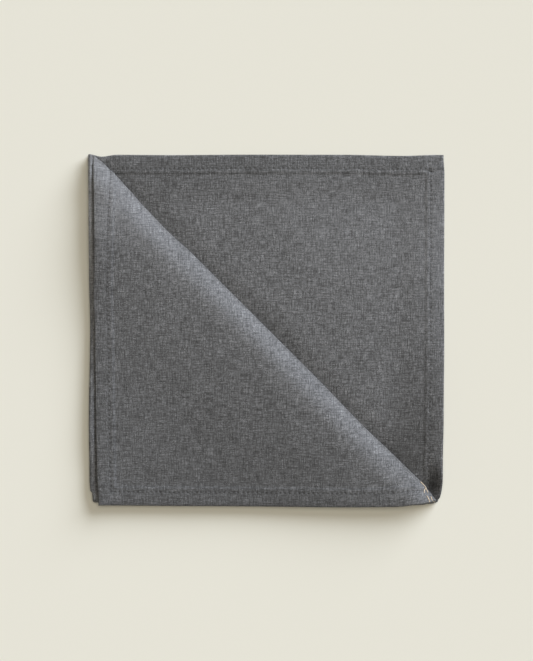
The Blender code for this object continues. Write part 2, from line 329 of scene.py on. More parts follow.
# Worked out from the sizes above
TURN_RADIUS = (PITCH + FOLD_SPRING) / 2
LEFT_AXIS_X = LEFT_X + SOLID / 2 + TURN_RADIUS
LEFT_TURN = math.pi * TURN_RADIUS / 2
OUTER_RADIUS = TURN_RADIUS + PITCH
BOTTOM_AXIS_Y = BOTTOM_Y + SOLID / 2 + OUTER_RADIUS
BOTTOM_TURN = math.pi * OUTER_RADIUS / 2
HALF_WIDTH = LEFT_TURN + RIGHT_X - LEFT_AXIS_X
HALF_LENGTH = BOTTOM_TURN + TOP_Y - BOTTOM_AXIS_Y
ROLL_RADIUS = (PITCH + CREASE_SPRING) / 2
ROLL_LENGTH = math.pi * ROLL_RADIUS
DIAGONAL = math.sqrt(2)
CREASE_SUM = MIRROR_SUM - ROLL_LENGTH / DIAGONAL

# Stage: the camera looks straight down on the middle of the picture
IMAGE_HEIGHT = 661
PIXEL = 0.000634
CAMERA_HEIGHT = 2.0
CAMERA_X = 0.0003
CAMERA_Y = 0.0002
SENSOR = 36.0
FLOOR_SIZE = 3.0

# Soft lights: (name, azimuth, elevation, spread, strength, colour), in degrees
LIGHTS = (
    ("key", 46, 28, 44, 4.05, (0.865, 0.914, 1.0)),
    ("overhead", 55, 86, 30, 1.27, (1.0, 0.93, 0.80)),
)
SKY_COLOUR = (1.0, 0.93, 0.80, 1.0)
SKY_STRENGTH = 0.10


class NapkinSizes(bpy.types.PropertyGroup):
    """Sizes of the cloth and of its sewing."""

    cloth_thickness: bpy.props.FloatProperty(
        name="Cloth thickness",
        description="Thickness of a single layer of linen",
        default=0.0005,
        unit="LENGTH",
    )
    hem_thickness: bpy.props.FloatProperty(
        name="Hem thickness",
        description="Thickness of the hem, which is turned twice",
        default=0.0010,
        unit="LENGTH",
    )
    hem_width: bpy.props.FloatProperty(
        name="Hem width",
        description="Distance from the edge of the cloth to the inner fold of its hem",
        default=0.0118,
        unit="LENGTH",
    )
    seam_distance: bpy.props.FloatProperty(
        name="Seam distance",
        description="Distance from the edge of the cloth to the line of stitches",
        default=0.0086,
        unit="LENGTH",
    )
    stitch_pitch: bpy.props.FloatProperty(
        name="Stitch pitch",
        description="Distance from one stitch of the hem to the next",
        default=0.0030,
        unit="LENGTH",
    )
    stitch_width: bpy.props.FloatProperty(
        name="Stitch width",
        description="Thickness of the sewing thread",
        default=0.00040,
        unit="LENGTH",
    )
    thread_pitch: bpy.props.FloatProperty(
        name="Thread pitch",
        description="Distance from one thread of the weave to the next",
        default=0.00062,
        unit="LENGTH",
    )


class NapkinColours(bpy.types.PropertyGroup):
    """Colours of the cloth, of its threads and of the floor."""

    linen: bpy.props.FloatVectorProperty(
        name="Linen",
        description="Colour of the cloth",
        size=4,
        subtype="COLOR",
        default=(0.1010, 0.1030, 0.1085, 1.0),
    )
    sewing_thread: bpy.props.FloatVectorProperty(
        name="Sewing thread",
        description="Colour of the stitches",
        size=4,
        subtype="COLOR",
        default=(0.085, 0.085, 0.088, 1.0),
    )
    loose_thread: bpy.props.FloatVectorProperty(
        name="Loose thread",
        description="Colour of the light threads at the lower right corner",
        size=4,
        subtype="COLOR",
        default=(0.72, 0.60, 0.46, 1.0),
    )
    floor: bpy.props.FloatVectorProperty(
        name="Floor",
        description="Colour of the floor",
        size=4,
        subtype="COLOR",
        default=(0.768, 0.754, 0.672, 1.0),
    )


def ease(part):
    """0 below 0, 1 above 1 and a smooth rise between."""
    part = np.clip(part, 0.0, 1.0)
    return part * part * (3 - 2 * part)


def fade(distance, reach):
    """1 at no distance, falling smoothly to nothing past the reach."""
    return np.exp(-((distance / reach) ** 2))


def read_drift(rows, place):
    """Reads a drift table at places along its edge, with smooth runs between its rows."""
    places = np.array([row[0] for row in rows])
    shifts = np.array([row[1] for row in rows])
    before = np.clip(np.searchsorted(places, place) - 1, 0, len(rows) - 2)
    share = (place - places[before]) / (places[before + 1] - places[before])
    return shifts[before] + (shifts[before + 1] - shifts[before]) * ease(share)


def ply_gap(along, to_side, to_end):
    """Distance between the two plies of the first fold, wider beside the fold and on the hems."""
    spring = FOLD_SPRING * fade(along, FOLD_SPRING_REACH)
    hem_foot = SOLID_HEM + HEM_STEP
    hemmed = 1 - ease((np.minimum(to_side, to_end) - hem_foot) / HEM_SETTLE)
    return PITCH + spring + (2 * HEM_EXTRA + HEM_AIR) * hemmed


def stack_radius(x, y):
    """Half the height from the lowest layer's middle to the top layer's, at a place in the plan."""
    gap = ply_gap(np.maximum(x - LEFT_AXIS_X, 0.0), RIGHT_X - x, TOP_Y - y)
    return TURN_RADIUS - FOLD_SPRING / 2 * (1 - fade(y - BOTTOM_AXIS_Y, FOLD_SPRING_REACH)) + gap


def first_fold(u, v):
    """Folds the cut over the left fold. Gives x, the height over the outer ply and how far the
    point is from the outer ply to the inner one."""
    to_side = HALF_WIDTH - np.abs(u)
    to_end = HALF_LENGTH - np.abs(v)
    radius = ply_gap(0.0, HALF_WIDTH, to_end) / 2
    axis_x = LEFT_X + SOLID / 2 + radius
    flat = np.maximum(np.abs(u) - LEFT_TURN, 0.0)
    turning = np.abs(u) < LEFT_TURN
    angle = math.pi / 2 * np.clip(u / LEFT_TURN, -1.0, 1.0)
    run = axis_x + flat * (RIGHT_X - axis_x) / (HALF_WIDTH - LEFT_TURN)
    x = np.where(turning, axis_x - radius * np.cos(angle), run)
    gap = np.where(u < 0, 0.0, ply_gap(flat, to_side, to_end))
    height = np.where(turning, radius * (1 + np.sin(angle)), gap)
    return x, height, (1 + np.sin(angle)) / 2


def quarter_fold(u, v):
    """Points of the cut after both folds. Gives x, y, z and the level, which runs from 0 on the
    lowest layer to 3 on the highest."""
    x, height, inner = first_fold(u, v)
    radius = TURN_RADIUS + ply_gap(np.maximum(x - LEFT_AXIS_X, 0.0), HALF_WIDTH - np.abs(u), HALF_LENGTH)
    axis_y = BOTTOM_Y + SOLID / 2 + radius
    flat = np.maximum(np.abs(v) - BOTTOM_TURN, 0.0)
    turning = np.abs(v) < BOTTOM_TURN
    angle = -math.pi / 2 * np.clip(v / BOTTOM_TURN, -1.0, 1.0)
    run = axis_y + flat * (TOP_Y - axis_y) / (HALF_LENGTH - BOTTOM_TURN)
    y = np.where(turning, axis_y - (radius - height) * np.cos(angle), run)
    upper = 2 * stack_radius(x, run) - height
    laid = SOLID / 2 + np.where(v > 0, height, upper)
    z = np.where(turning, SOLID / 2 + radius + (radius - height) * np.sin(angle), laid)
    turned = (1 + np.sin(angle)) / 2
    return x, y, z, inner + turned * (3 - 2 * inner)


def crease_distance(x, y):
    """Distance in the plan from the diagonal crease, positive towards the free corner."""
    return (x + y - CREASE_SUM) / DIAGONAL


def turn_back(x, y, z):
    """Points of the top layer past the crease, rolled over it and laid back on the layer."""
    past = np.maximum(crease_distance(x, y), 0.0)
    angle = np.minimum(past / ROLL_RADIUS, math.pi)
    reach = ROLL_RADIUS * np.sin(angle) - np.maximum(past - ROLL_LENGTH, 0.0)
    x = x + (reach - past) / DIAGONAL
    y = y + (reach - past) / DIAGONAL
    settled = SOLID / 2 + 2 * stack_radius(x, y)
    z = z + (settled - z) * ease(angle / math.pi)
    spring = CREASE_SPRING * fade(np.maximum(past - ROLL_LENGTH, 0.0), CREASE_SPRING_REACH)
    z = z + (PITCH + spring) / 2 * (1 - np.cos(angle))
    return x, y, z, 3 + (1 - np.cos(angle)) / 2


def crease_height(rows, x, y):
    """Sum of the soft troughs and ridges of one table. Each fades out at its two ends."""
    total = 0.0
    for start_x, start_y, end_x, end_y, half_width, height in rows:
        length = math.hypot(end_x - start_x, end_y - start_y)
        along_x = (end_x - start_x) / length
        along_y = (end_y - start_y) / length
        along = ((x - start_x) * along_x + (y - start_y) * along_y) / length
        across = (y - start_y) * along_x - (x - start_x) * along_y
        total = total + height * fade(across, half_width) * ease(4 * along) * ease(4 - 4 * along)
    return total


def area_sum(rows, x, y):
    """Sum of the soft areas of one table."""
    total = 0.0
    for at_x, at_y, reach_x, reach_y, share in rows:
        total = total + share * fade(x - at_x, reach_x) * fade(y - at_y, reach_y)
    return total


def raise_layers(x, y, level):
    """How much the air between the layers lifts points, given their level in the stack."""
    distance = crease_distance(x, y)
    rounded = np.hypot(distance, CREASE_ROUNDING) - CREASE_ROUNDING
    rise = 1 - (1 - np.minimum(rounded / RISE_REACH, 1.0)) ** 2
    beside = (RISE_BESIDE_CREASE + area_sum(SWELLS_BESIDE_CREASE, x, y)) * rise
    beside = beside + crease_height(CREASES_BESIDE_CREASE, x, y)
    beside = beside + area_sum(LIFTS_BESIDE_CREASE, x, y)
    inner = (np.hypot(distance, CREASE_ROUNDING) - distance) / 2
    puff = 1 - (1 - np.minimum(inner / PUFF_REACH, 1.0)) ** 2
    flap = (RISE_OF_FLAP + area_sum(SWELLS_OF_FLAP, x, y)) * rise
    flap = flap + crease_height(CREASES_OF_FLAP, x, y) + area_sum(LIFTS_OF_FLAP, x, y)
    flap = flap + PUFF_HEIGHT * puff * (1 - ease((inner - PUFF_REACH) / PUFF_RUN_OUT))
    hollow = HOLLOW_DEPTH * fade(x - LEFT_X - HOLLOW_PLACE, HOLLOW_REACH) * (1 - ease(level - 3))
    beside = beside - hollow * ease(np.abs(distance) / HOLLOW_RUN_OUT)
    crown = np.exp(-(((x - LEFT_X - BEAD_PLACE) / BEAD_REACH) ** 4))
    bead = read_drift(LEFT_FOLD_BEAD, y) * crown * (1 - ease(level - 3))
    under = (RISE_UNDER_FLAP * rise + bead) * ease(level - 2)
    return beside * ease(level - 1) + under + flap * ease(level - 3)


def drift_outline(x, y, level):
    """Moves points sideways, to the uneven outline of hand-folded cloth."""
    on_flap = ease(level - 3) * ease(np.abs(crease_distance(x, y)) / FLAP_DRIFT_START)
    left = read_drift(LEFT_FOLD_DRIFT, y) * (1 - on_flap)
    left = left + read_drift(FLAP_LEFT_DRIFT, y) * on_flap
    bottom = read_drift(BOTTOM_FOLD_DRIFT, x) * (1 - on_flap)
    bottom = bottom + read_drift(FLAP_BOTTOM_DRIFT, x) * on_flap
    move_x = read_drift(RIGHT_HEM_DRIFT, y) * fade(RIGHT_X - x, DRIFT_REACH)
    move_x = move_x - left * fade(x - LEFT_X, DRIFT_REACH)
    move_y = read_drift(TOP_HEM_DRIFT, x) * fade(TOP_Y - y, DRIFT_REACH)
    move_y = move_y - bottom * fade(y - BOTTOM_Y, DRIFT_REACH)
    right_corner = RIGHT_CORNER_PULL * np.exp(-np.hypot(RIGHT_X - x, y - BOTTOM_Y) / RIGHT_CORNER_REACH)
    left_corner = LEFT_CORNER_PULL * fade(np.hypot(x - LEFT_X, y - BOTTOM_Y), LEFT_CORNER_REACH)
    move_x = move_x + left_corner * (1 - on_flap) - right_corner
    beside_crease = fade(crease_distance(x, y), CREASE_DRIFT_REACH)
    beside_crease = beside_crease * ease((x - LEFT_X - CREASE_DRIFT_START) / CREASE_DRIFT_RUN)
    move_x = move_x + read_drift(CREASE_DRIFT, x) * ease(level - 2) * beside_crease
    move_y = move_y + left_corner * (1 - on_flap) + right_corner
    return x + move_x, y + move_y


def stack_layers(u, v):
    """Points of the cut after all three folds, before the air between the layers lifts them."""
    x, y, z, level = quarter_fold(u, v)
    plan_x = LEFT_AXIS_X + np.abs(u) - LEFT_TURN
    plan_y = BOTTOM_AXIS_Y + np.abs(v) - BOTTOM_TURN
    turned = (u < -LEFT_TURN) & (v < 0) & (crease_distance(plan_x, plan_y) > 0)
    back_x, back_y, back_z, back_level = turn_back(x, y, z)
    x = np.where(turned, back_x, x)
    y = np.where(turned, back_y, y)
    z = np.where(turned, back_z, z)
    return x, y, z, np.where(turned, back_level, level)


def fold_cloth(u, v):
    """Where points of the flat cut lie in the folded napkin, as rows of x, y and z."""
    x, y, z, level = stack_layers(u, v)
    z = z + raise_layers(x, y, level)
    x, y = drift_outline(x, y, level)
    return np.stack([x, y, z], axis=-1)


def cloth_painted_light(u, v):
    """Painted light and shade of the cloth: 1, and lighter or darker in the listed areas on the two
    faces that show, up to more than 2 on the strip at the left, in place of light and shade on the folds."""
    x, y, _, level = stack_layers(u, v)
    on_flap = ease(level - 3)
    # Painted light and shade: listed areas of the faces that show are made lighter or darker in place of
    # light and shade on the folds
    beside = area_sum(PAINTED_LIGHT_BESIDE_CREASE, x, y) * ease(level - 1) * (1 - on_flap)
    # Painted highlight along the crease on the flap, where its rounded fold catches the light
    crease_highlight = CREASE_PAINTED_HIGHLIGHT * fade(crease_distance(x, y), CREASE_PAINTED_HIGHLIGHT_REACH)
    return 1 + beside + (area_sum(PAINTED_LIGHT_OF_FLAP, x, y) + crease_highlight) * on_flap


def wrong_side(u, v):
    """Direction out of the cloth's wrong side, the one that its hems are turned to."""
    across = fold_cloth(u + NUDGE, v) - fold_cloth(u - NUDGE, v)
    along = fold_cloth(u, v + NUDGE) - fold_cloth(u, v - NUDGE)
    direction = np.cross(along, across)
    return direction / np.linalg.norm(direction, axis=-1, keepdims=True)


def edge_distance(u, v):
    """Distance on the flat cut to its nearest edge."""
    return np.minimum(HALF_WIDTH - np.abs(u), HALF_LENGTH - np.abs(v))


def edge_rounding(inside):
    """0 on the very edge of the cloth, rising in a quarter circle to 1 just inside it."""
    return np.sqrt(1 - (1 - np.clip(inside / EDGE_ROUNDING, 0, 1)) ** 2)


def hem_relief(u, v, sizes):
    """Height of the hem on the wrong side: rounded at the edge, drawn in by the seam, and with a
    soft step down at its inner fold."""
    inside = edge_distance(u, v)
    full = sizes.hem_thickness - sizes.cloth_thickness
    crown = 1 - HEM_CROWN * (1 - np.clip(inside / HEM_CROWN_REACH, 0, 1)) ** 2
    rim = edge_rounding(inside)
    step = 1 - ease((inside - sizes.hem_width + HEM_FALL_START) / HEM_FALL)
    seam = SEAM_DRAW * fade(inside - sizes.seam_distance, SEAM_REACH)
    return full * (crown * rim * step - seam) - sizes.cloth_thickness / 2 * (1 - rim)


def right_relief(u, v, sizes):
    """Depth of the right side under the solid's outer face: rounded at the edge and drawn in
    along the seam."""
    inside = edge_distance(u, v)
    seam = SEAM_DEPTH * fade(inside - sizes.seam_distance, SEAM_REACH)
    return sizes.cloth_thickness / 2 * (1 - edge_rounding(inside)) + seam


def even_lines(start, end, step):
    """Places from start to end, evenly spaced and no further apart than step."""
    count = math.ceil((end - start) / step)
    return [start + (end - start) * k / count for k in range(count + 1)]


def half_lines(turn, half, step):
    """Scored places of one half of the cut, from its fold to its edge: the turn, the cloth beside
    it, the body and the hem."""
    turns = [turn * k / TURN_STEPS for k in range(TURN_STEPS + 1)]
    beside = [turn + line for line in BESIDE_FOLD]
    hem = [half - line for line in HEM_FINE]
    return sorted(turns + beside + even_lines(max(beside) + step / 2, min(hem) - step / 2, step) + hem)


def flat_cut():
    """The flat cloth as a mesh, with a finer grid on the half that is seen, and scored along the
    diagonal crease."""
    u_half = half_lines(LEFT_TURN, HALF_WIDTH, FINE_STEP)
    v_fine = half_lines(BOTTOM_TURN, HALF_LENGTH, FINE_STEP)
    v_coarse = half_lines(BOTTOM_TURN, HALF_LENGTH, COARSE_STEP)
    u_lines = [-line for line in reversed(u_half)] + u_half[1:]
    v_lines = [-line for line in reversed(v_fine)] + v_coarse[1:]
    cut = bmesh.new()
    bmesh.ops.create_grid(cut, x_segments=len(u_lines) - 1, y_segments=len(v_lines) - 1, size=1.0)
    for vert in cut.verts:
        column = round((vert.co.x + 1) / 2 * (len(u_lines) - 1))
        row = round((vert.co.y + 1) / 2 * (len(v_lines) - 1))
        vert.co = (u_lines[column], v_lines[row], 0.0)
    for step in range(ROLL_STEPS + 1):
        score_diagonal(cut, ROLL_LENGTH * step / ROLL_STEPS, -1)
    for line in BESIDE_CREASE:
        score_diagonal(cut, -line, -1)
        score_diagonal(cut, ROLL_LENGTH + line, -1)
        score_diagonal(cut, ROLL_LENGTH / 2 - line, 1)
        score_diagonal(cut, ROLL_LENGTH / 2 + line, 1)
    bmesh.ops.triangulate(cut, faces=[face for face in cut.faces if len(face.verts) > 4])
    return cut


def score_diagonal(cut, line, side):
    """Scores a line along the crease on one upper quarter, side -1 for the top layer's."""
    plan_x = LEFT_AXIS_X - LEFT_TURN
    plan_y = BOTTOM_AXIS_Y - BOTTOM_TURN
    offset = line - crease_distance(plan_x, plan_y)
    direction = Vector((side / DIAGONAL, -1 / DIAGONAL, 0))
    reach = 3 * FINE_STEP
    faces = []
    for face in cut.faces:
        middle = face.calc_center_median()
        if middle.x * side > 0 and middle.y < 0 and abs(middle.dot(direction) - offset) < reach:
            faces.append(face)
    edges = list(dict.fromkeys(edge for face in faces for edge in face.edges))
    verts = list(dict.fromkeys(vert for face in faces for vert in face.verts))
    bmesh.ops.bisect_plane(
        cut, geom=faces + edges + verts, plane_co=direction * offset, plane_no=direction, dist=SNAP
    )


def lone_select(piece):
    """Selects one object and makes it active."""
    bpy.ops.object.select_all(action="DESELECT")
    piece.select_set(True)
    bpy.context.view_layer.objects.active = piece


def fold_sheet_mesh(sizes):
    """The folded sheet: the cut's two sides, laid out over the folds and closed along the edge."""
    cut = flat_cut()
    cut.verts.index_update()
    flat = np.array([vert.co[:2] for vert in cut.verts])
    u, v = flat[:, 0], flat[:, 1]
    middle = fold_cloth(u, v)
    outward = wrong_side(u, v)
    wrong = middle + outward * (hem_relief(u, v, sizes) + sizes.cloth_thickness - SOLID / 2)[:, None]
    right = middle + outward * (right_relief(u, v, sizes) - SOLID / 2)[:, None]
    count = len(flat)
    faces = []
    for face in cut.faces:
        corners = [vert.index for vert in face.verts]
        faces.append([corner + count for corner in corners])
        faces.append(corners[::-1])
    for edge in cut.edges:
        if edge.is_boundary:
            loop = edge.link_loops[0]
            first, second = loop.vert.index, loop.link_loop_next.vert.index
            faces.append([first, second, second + count, first + count])
    cut.free()
    mesh = bpy.data.meshes.new("folded_cloth")
    mesh.from_pydata(np.vstack([wrong, right]).tolist(), [], faces)
    mesh.update()
    weave = mesh.uv_layers.new(name="weave")
    both = np.vstack([flat, flat])
    corner_verts = np.zeros(len(mesh.loops), np.int32)
    mesh.loops.foreach_get("vertex_index", corner_verts)
    places = both[corner_verts] / (2 * HALF_WIDTH, 2 * HALF_LENGTH) + 0.5
    weave.data.foreach_set("uv", places.astype(np.float32).ravel())
    inside = np.concatenate([edge_distance(u, v)] * 2)
    edge = mesh.attributes.new("edge_distance", "FLOAT", "POINT")
    edge.data.foreach_set("value", inside.astype(np.float32))
    # Painted light and shade of the cloth, kept on the mesh for its material
    painted_light = mesh.attributes.new("cloth_painted_light", "FLOAT", "POINT")
    painted_light.data.foreach_set("value", np.concatenate([cloth_painted_light(u, v)] * 2).astype(np.float32))
    along_side = HALF_WIDTH - np.abs(u) < HALF_LENGTH - np.abs(v)
    along = np.concatenate([np.where(along_side, v, u)] * 2)
    seam = mesh.attributes.new("seam_place", "FLOAT", "POINT")
    seam.data.foreach_set("value", along.astype(np.float32))
    mesh.shade_smooth()
    return mesh


def add_node(tree, kind, at, **values):
    """Adds a shader node at a place in the tree and sets the inputs and settings given by name."""
    node = tree.nodes.new(kind)
    node.location = at
    for name, value in values.items():
        if name in node.inputs:
            node.inputs[name].default_value = value
        else:
            setattr(node, name, value)
    return node


def math_node(tree, operation, at, *values):
    """Adds a Math node. Each of its inputs is a socket or a number."""
    node = add_node(tree, "ShaderNodeMath", at, operation=operation)
    for socket, value in zip(node.inputs, values):
        if isinstance(value, (int, float)):
            socket.default_value = value
        else:
            tree.links.new(value, socket)
    return node.outputs[0]


def noise_node(tree, vector, at, **values):
    """Adds a Noise Texture node that is read at places of the cloth."""
    noise = add_node(tree, "ShaderNodeTexNoise", at, **values)
    tree.links.new(vector, noise.inputs["Vector"])
    return noise.outputs["Fac"]


def range_node(tree, value, source, target, at, kind="LINEAR"):
    """Adds a Map Range node that carries one range of values over to another."""
    node = add_node(tree, "ShaderNodeMapRange", at, interpolation_type=kind)
    for name, number in zip(("From Min", "From Max", "To Min", "To Max"), source + target):
        node.inputs[name].default_value = number
    tree.links.new(value, node.inputs["Value"])
    return node.outputs["Result"]


def bump_node(tree, height, normal, at, strength, distance):
    """Adds a Bump node over an earlier one, or over the bare surface."""
    bump = add_node(tree, "ShaderNodeBump", at, Strength=strength, Distance=distance)
    tree.links.new(height, bump.inputs["Height"])
    if normal is not None:
        tree.links.new(normal, bump.inputs["Normal"])
    return bump.outputs[0]


def scale_colour(tree, colour, light, shader, at):
    """Gives a shader a colour whose lightness varies by a factor."""
    scaled = add_node(tree, "ShaderNodeVectorMath", at, operation="SCALE")
    scaled.inputs[0].default_value = colour[:3]
    tree.links.new(light, scaled.inputs["Scale"])
    tree.links.new(scaled.outputs[0], shader.inputs["Base Color"])


def spread_light(tree, noise, share, at):
    """Turns noise around 0.5 into a factor around 1 that varies by the given share."""
    return range_node(tree, noise, (0.30, 0.70), (1 - share / 2, 1 + share / 2), at)


def thread_fibre(tree, across, along, pitch, at):
    """One direction of threads: the number of each, its round height and its lightness along."""
    left, top = at
    place = math_node(tree, "DIVIDE", at, across, pitch)
    number = math_node(tree, "FLOOR", (left + 180, top), place)
    part = math_node(tree, "FRACT", (left + 180, top - 160), place)
    middle = math_node(tree, "SUBTRACT", (left + 360, top - 160), part, 0.5)
    bow = math_node(tree, "MULTIPLY", (left + 540, top - 160), middle, middle)
    height = math_node(tree, "MULTIPLY_ADD", (left + 720, top - 160), bow, -ROUNDNESS, 1.0)
    lane = add_node(tree, "ShaderNodeCombineXYZ", (left + 540, top))
    shift = math_node(tree, "MULTIPLY", (left + 360, top), number, SLUB_SHIFT)
    tree.links.new(shift, lane.inputs[0])
    length = math_node(tree, "MULTIPLY", (left + 360, top + 160), along, SLUB_FINENESS)
    tree.links.new(length, lane.inputs[1])
    slub = noise_node(tree, lane.outputs[0], (left + 720, top), Scale=1.0, Detail=1.0, Roughness=0.5)
    return number, height, slub


def woven_threads(tree, metres, pitch):
    """Threads that pass over and under each other: the height of the upper one and its lightness."""
    plain = add_node(tree, "ShaderNodeSeparateXYZ", (-1140, 0))
    tree.links.new(metres, plain.inputs[0])
    warble = noise_node(tree, metres, (-1140, -240), Scale=90.0, Detail=2.0)
    bend = math_node(tree, "MULTIPLY_ADD", (-960, -240), warble, WANDER, 0.5)
    across = math_node(tree, "ADD", (-960, 60), plain.outputs[0], bend)
    along = math_node(tree, "ADD", (-960, -60), plain.outputs[1], bend)
    warp_number, *warp = thread_fibre(tree, across, along, pitch, (-780, 500))
    weft_number, *weft = thread_fibre(tree, along, across, pitch * WEFT_SHARE, (-780, 0))
    numbers = math_node(tree, "ADD", (120, 700), warp_number, weft_number)
    over = math_node(tree, "FLOORED_MODULO", (300, 700), numbers, 2.0)
    upper = []
    for row, pair in enumerate(zip(warp, weft)):
        mix = add_node(tree, "ShaderNodeMix", (480, 420 - 200 * row))
        for place, value in zip((0, 2, 3), (over, *pair)):
            tree.links.new(value, mix.inputs[place])
        upper.append(mix.outputs[0])
    return upper


def streak_noise(tree, metres, scale, at):
    """Noise drawn out along one direction of the threads."""
    stretch = add_node(tree, "ShaderNodeMapping", at, Scale=scale)
    tree.links.new(metres, stretch.inputs["Vector"])
    return noise_node(tree, stretch.outputs[0], (at[0] + 180, at[1]), Scale=1.0, Detail=2.0, Roughness=0.6)


def seam_marks(tree, edge, sizes, at):
    """The marks of the stitches on the cloth: a height that is low at each needle hole and full
    between two of them, and the shade painted at the holes, where their recesses lie in shadow."""
    left, top = at
    place = add_node(tree, "ShaderNodeAttribute", at, attribute_name="seam_place")
    angle = math_node(
        tree, "MULTIPLY", (left + 180, top), place.outputs["Fac"], 2 * math.pi / sizes.stitch_pitch
    )
    wave = math_node(tree, "COSINE", (left + 360, top), angle)
    off = math_node(tree, "SUBTRACT", (left + 180, top - 160), edge, sizes.seam_distance)
    far = math_node(tree, "ABSOLUTE", (left + 360, top - 160), off)
    near = range_node(tree, far, (0.0, PUCKER_REACH), (1.0, 0.0), (left + 540, top - 160), "SMOOTHSTEP")
    drawn = math_node(tree, "MULTIPLY", (left + 720, top), wave, near)
    height = math_node(tree, "SUBTRACT", (left + 900, top), 1.0, drawn)
    # Painted shade: the cloth is darkened at each needle hole in place of the shade in its recess
    hole = range_node(tree, wave, (-0.1, 1.0), (0.0, NEEDLE_PAINTED_SHADE), (left + 540, top + 240))
    around = range_node(tree, far, (0.0, NEEDLE_REACH), (1.0, 0.0), (left + 540, top - 400))
    dark = math_node(tree, "MULTIPLY", (left + 720, top + 240), hole, around)
    return height, math_node(tree, "SUBTRACT", (left + 900, top + 240), 1.0, dark)


def linen_material(sizes, colours):
    """Plain-woven grey linen: round threads over and under each other, slubs, soft mottling, a
    little wear along the edges, the marks of the seams with shade painted at the needle holes, and
    light and shade painted on in listed areas and along the crease."""
    linen = bpy.data.materials.new("grey_linen_weave")
    linen.use_nodes = True
    tree = linen.node_tree
    shader = tree.nodes["Principled BSDF"]
    shader.location = (2200, 200)
    tree.nodes["Material Output"].location = (2500, 200)
    shader.inputs["Roughness"].default_value = 0.62
    shader.inputs["Specular IOR Level"].default_value = 0.50
    shader.inputs["Sheen Weight"].default_value = 0.10
    shader.inputs["Sheen Roughness"].default_value = 0.45
    shader.inputs["Sheen Tint"].default_value = (0.55, 0.55, 0.56, 1.0)
    weave = add_node(tree, "ShaderNodeUVMap", (-1500, 0), uv_map="weave")
    mapping = add_node(tree, "ShaderNodeMapping", (-1320, 0), Scale=(2 * HALF_WIDTH, 2 * HALF_LENGTH, 1.0))
    tree.links.new(weave.outputs[0], mapping.inputs["Vector"])
    metres = mapping.outputs[0]
    thread_height, slub = woven_threads(tree, metres, sizes.thread_pitch)
    warp_streak = streak_noise(tree, metres, (1750.0, 130.0, 1.0), (300, -200))
    weft_streak = streak_noise(tree, metres, (130.0, 1750.0, 1.0), (300, -400))
    cloud = noise_node(tree, metres, (480, -600), Scale=48.0, Detail=1.5, Roughness=0.5)
    edge = add_node(tree, "ShaderNodeAttribute", (480, -900), attribute_name="edge_distance").outputs["Fac"]
    # Painted light and shade of the cloth
    painted_light = add_node(tree, "ShaderNodeAttribute", (720, 900), attribute_name="cloth_painted_light").outputs["Fac"]
    hem_shade = range_node(
        tree, edge, (0.0, HEM_SHADE_REACH), (HEM_SHADE, BODY_SHADE), (720, -900), "SMOOTHSTEP"
    )
    worn_rim = range_node(tree, edge, (0.0, RIM_REACH), (RIM_WEAR, 1.0), (720, -1160), "SMOOTHSTEP")
    seam_height, seam_painted_shade = seam_marks(tree, edge, sizes, (480, -1600))
    light = spread_light(tree, slub, SLUB_SHARE, (720, 220))
    noises = ((warp_streak, STREAK_SHARE), (weft_streak, STREAK_SHARE), (cloud, CLOUD_SHARE))
    for row, (noise, share) in enumerate(noises):
        factor = spread_light(tree, noise, share, (720, -40 - 260 * row))
        light = math_node(tree, "MULTIPLY", (900 + 180 * row, 220), light, factor)
    # The weave is calmed more where painted light makes the cloth lighter
    lighter = math_node(tree, "MAXIMUM", (900, 900), painted_light, 1.0)
    calm = math_node(tree, "DIVIDE", (1080, 900), CALM, lighter)
    light = math_node(tree, "POWER", (1440, 220), light, calm)
    # The hem's darkening, the worn rim, painted shade at the needle holes and painted light and shade of
    # the cloth scale its colour here
    for row, factor in enumerate((hem_shade, worn_rim, seam_painted_shade, painted_light)):
        light = math_node(tree, "MULTIPLY", (1620, 220 + 180 * row), light, factor)
    scale_colour(tree, colours.linen, light, shader, (1860, 400))
    waves = noise_node(tree, metres, (1440, -300), Scale=40.0, Detail=1.0, Roughness=0.5)
    relief = math_node(tree, "MULTIPLY_ADD", (1620, -60), slub, 0.6, thread_height)
    wrinkles = bump_node(tree, waves, None, (1620, -300), strength=0.16, distance=0.0012)
    pucker = bump_node(tree, seam_height, wrinkles, (1800, -300), strength=0.30, distance=0.00025)
    threads = bump_node(tree, relief, pucker, (1980, -60), strength=0.35, distance=0.00012)
    tree.links.new(threads, shader.inputs["Normal"])
    return linen


def thread_material(name, colour, twist):
    """Twisted yarn: slanted plies that show as light and dark bands along it."""
    yarn = bpy.data.materials.new(name)
    yarn.use_nodes = True
    tree = yarn.node_tree
    shader = tree.nodes["Principled BSDF"]
    shader.inputs["Roughness"].default_value = 0.7
    shader.inputs["Sheen Weight"].default_value = 0.2
    place = add_node(tree, "ShaderNodeTexCoord", (-900, 0))
    plies = add_node(tree, "ShaderNodeTexWave", (-600, 0), Scale=twist, Distortion=3.0, Detail=2.0)
    plies.bands_direction = "DIAGONAL"
    tree.links.new(place.outputs["Object"], plies.inputs["Vector"])
    light = range_node(tree, plies.outputs["Fac"], (0.0, 1.0), (0.75, 1.2), (-400, 0))
    scale_colour(tree, colour, light, shader, (-200, 0))
    bump = bump_node(tree, plies.outputs["Fac"], None, (-200, -250), strength=0.5, distance=0.0001)
    tree.links.new(bump, shader.inputs["Normal"])
    return yarn


class NAPKIN_OT_fold_sheet(bpy.types.Operator):
    """Makes the folded sheet of linen and puts it in place of the plain solid."""

    bl_idname = "napkin.fold_sheet"
    bl_label = "Fold the sheet"

    def execute(self, context):
        sizes = context.scene.napkin_sizes
        mesh = fold_sheet_mesh(sizes)
        sheet = bpy.data.objects.new("folded_cloth", mesh)
        context.scene.collection.objects.link(sheet)
        sheet.data.materials.append(linen_material(sizes, context.scene.napkin_colours))
        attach(sheet, "root")
        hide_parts(NODE)
        return {"FINISHED"}


